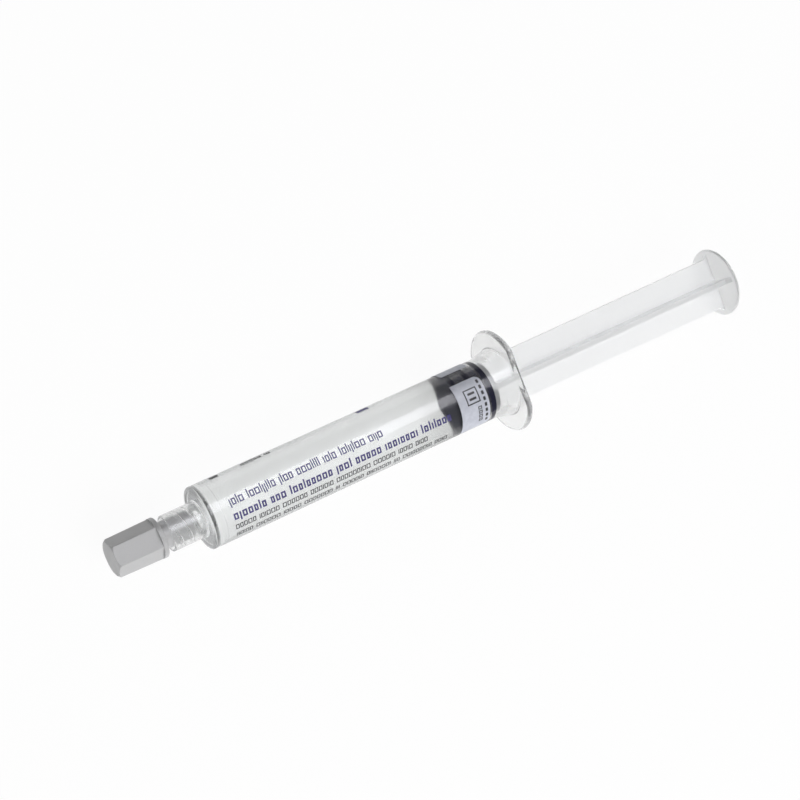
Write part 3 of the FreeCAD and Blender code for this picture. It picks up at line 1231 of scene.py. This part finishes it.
@dataclass
class Studio:
    """Pale surroundings that are dim on one side and overhead, a large soft lamp and one for gloss.

    The strength is surround for most rays and mirrored for mirror rays. Rays through clear material meet
    full strength, which falls to ceiling overhead. On the dim side only the share dim is left of each. The
    spans say between which rises, or leans to that side, a strength changes.
    """

    datum: Datum
    sky: Colour = (0.8, 0.8, 0.8)
    surround: float = 0.55
    mirrored: float = 0.25
    ceiling: float = 0.55
    ceiling_span: tuple[float, float] = (0.25, 0.75)
    dim: float = 0.6
    dim_span: tuple[float, float] = (0.2, 0.9)
    dim_side: tuple[float, float, float] = (-0.45, 0.88, 0.0)
    lamps: tuple[Lamp, ...] = (
        Lamp("soft_box", place=(0.1, -0.73, 0.74), length=0.7, width=0.7, power=7.5),
        Lamp("overhead_box", place=(0.4, 0.4, 0.98), length=1.5, width=0.62, power=13.0,
             for_gloss=True, colour=(1.0, 1.0, 1.06)),
    )

    def build(self) -> None:
        """Makes the world and the lamps."""
        self.build_world()
        for lamp in self.lamps:
            lamp.build(self.datum)

    def build_world(self) -> None:
        """Makes the world: white for the camera, grey for other rays, palest through clear material."""
        world = bpy.data.worlds.new("white_room")
        world.use_nodes = True
        world.node_tree.nodes.clear()
        bpy.context.scene.world = world
        shading = Shading(world.node_tree)
        sky = shading.add("ShaderNodeBackground")
        sky.inputs["Color"].default_value = (*self.sky, 1.0)
        white = shading.add("ShaderNodeBackground")
        white.inputs["Color"].default_value = (1.0, 1.0, 1.0, 1.0)
        mix = shading.add("ShaderNodeMixShader")
        output = shading.add("ShaderNodeOutputWorld")
        path = shading.add("ShaderNodeLightPath")
        place = shading.add("ShaderNodeTexCoord")
        lean = shading.add("ShaderNodeVectorMath", operation="DOT_PRODUCT")
        lean.inputs[1].default_value = Vector(self.dim_side).normalized()
        shading.join(place.outputs["Generated"], lean.inputs[0])
        side = shading.ramp(lean.outputs["Value"], self.dim_span, (1.0, self.dim))
        parts = shading.add("ShaderNodeSeparateXYZ")
        shading.join(place.outputs["Generated"], parts.inputs["Vector"])
        above = shading.ramp(parts.outputs["Z"], self.ceiling_span, (1.0, self.ceiling))
        seen_through = shading.combine("MULTIPLY", path.outputs["Is Transmission Ray"], above)
        mirrored = shading.blend(path.outputs["Is Glossy Ray"], self.surround, self.mirrored)
        bright = shading.combine("MAXIMUM", mirrored, seen_through)
        level = shading.combine("MULTIPLY", side, bright)
        shading.join(level, sky.inputs["Strength"])
        shading.join(path.outputs["Is Camera Ray"], mix.inputs["Fac"])
        shading.join(sky.outputs["Background"], mix.inputs[1])
        shading.join(white.outputs["Background"], mix.inputs[2])
        shading.join(mix.outputs["Shader"], output.inputs["Surface"])


@dataclass
class PhotoCamera:
    """Camera in the photograph's place.

    The axis makes an angle with the line of sight, the picture is turned so that the axis climbs to
    the right, and the syringe is rolled a little about its axis.
    """

    datum: Datum
    axis_angle: float = 65.9
    climb: float = 24.3
    roll: float = 7.4
    aim_along: float = 58.8
    aim_drop: float = 5.985
    distance: float = 466.0
    lens: float = 85.5
    near_clip: float = 0.01

    def build(self) -> None:
        """Makes the camera and lets the scene use it."""
        angle, roll, climb = (math.radians(turn) for turn in (self.axis_angle, self.roll, self.climb))
        along = Vector((math.sin(angle), math.cos(angle) * math.sin(roll),
                        math.cos(angle) * math.cos(roll)))
        across = Vector((0.0, math.cos(roll), -math.sin(roll)))
        back = along.cross(across)
        right = math.cos(climb) * along - math.sin(climb) * across
        up = math.sin(climb) * along + math.cos(climb) * across
        aim = self.datum.point(self.aim_along, 0.0, 0.0)
        place = aim + (self.distance * back + self.aim_drop * across) * MM
        data = bpy.data.cameras.new("photo_camera")
        data.lens = self.lens
        data.clip_start = self.near_clip
        camera = bpy.data.objects.new("photo_camera", data)
        bpy.context.scene.collection.objects.link(camera)
        camera.matrix_world = Matrix.Translation(place) @ Matrix((right, up, back)).transposed().to_4x4()
        bpy.context.scene.camera = camera


def clear_scene() -> None:
    """Removes Blender's standard objects."""
    for thing in list(bpy.data.objects):
        bpy.data.objects.remove(thing)


def main() -> None:
    """Builds the syringe, the table, the light and the camera."""
    logging.basicConfig(level=logging.INFO, format="%(name)s: %(message)s")
    clear_scene()
    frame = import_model()
    build_moulded_skin()
    build_handling_marks()
    barrel = Barrel()
    datum = Datum.from_frame(barrel.tip_length)
    barrel.build(frame)
    TipCap().build(frame)
    PlungerRod().build(frame)
    stopper = Stopper(datum, barrel)
    stopper.build()
    Saline(datum, barrel, stopper).build(frame)
    Label(datum).build()
    Table(datum, barrel).build()
    Studio(datum).build()
    PhotoCamera(datum).build()
    scene = bpy.context.scene
    scene.view_settings.view_transform = "Standard"
    scene.cycles.max_bounces = LIGHT_BOUNCES
    scene.cycles.transmission_bounces = LIGHT_BOUNCES
    scene.cycles.glossy_bounces = LIGHT_BOUNCES
    scene.cycles.transparent_max_bounces = LIGHT_BOUNCES


if __name__ == "__main__":
    main()
